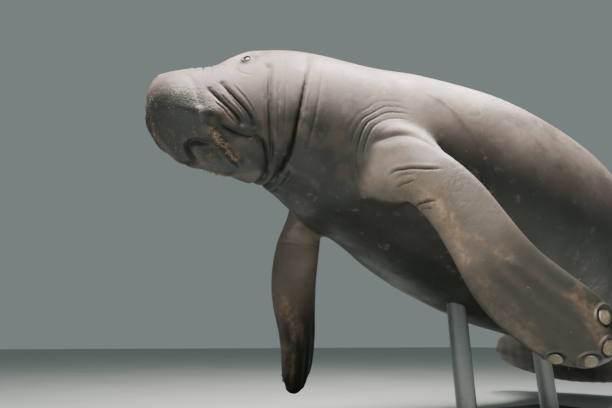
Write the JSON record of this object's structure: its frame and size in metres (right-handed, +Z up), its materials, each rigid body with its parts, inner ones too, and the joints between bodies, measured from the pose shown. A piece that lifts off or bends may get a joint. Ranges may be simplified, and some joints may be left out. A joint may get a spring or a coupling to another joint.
{
  "type": "manatee display model",
  "caption": "Life-size still model of a swimming manatee with drooped head, turned tail and spread flippers, on a flat base with short rods.",
  "frame": {"origin": "centre of the underside of the stand's base", "axes": "+Z up, head towards -X, the animal's left side towards -Y"},
  "size_m": [2.8639, 1.6587, 1.121],
  "materials": {
    "hide": "satin",
    "eye": "gloss",
    "nail": "satin",
    "stand_base": "matte",
    "stand_rod": "brushed"
  },
  "bodies": {
    "root": {"head": "hide", "muzzle": "hide", "lower_jaw": "hide", "neck": "hide", "chest": "hide", "belly": "hide", "tail_stock": "hide", "tail_paddle": "hide", "flipper_left": "hide", "flipper_right": "hide", "eye_left": "eye", "eye_right": "eye", "nail_left_1": "nail", "nail_left_2": "nail", "nail_left_3": "nail", "nail_left_4": "nail", "nail_right_1": "nail", "nail_right_2": "nail", "nail_right_3": "nail", "nail_right_4": "nail", "stand_base": "stand_base", "stand_rod_front": "stand_rod", "stand_rod_rear": "stand_rod"}
  },
  "joints": []
}
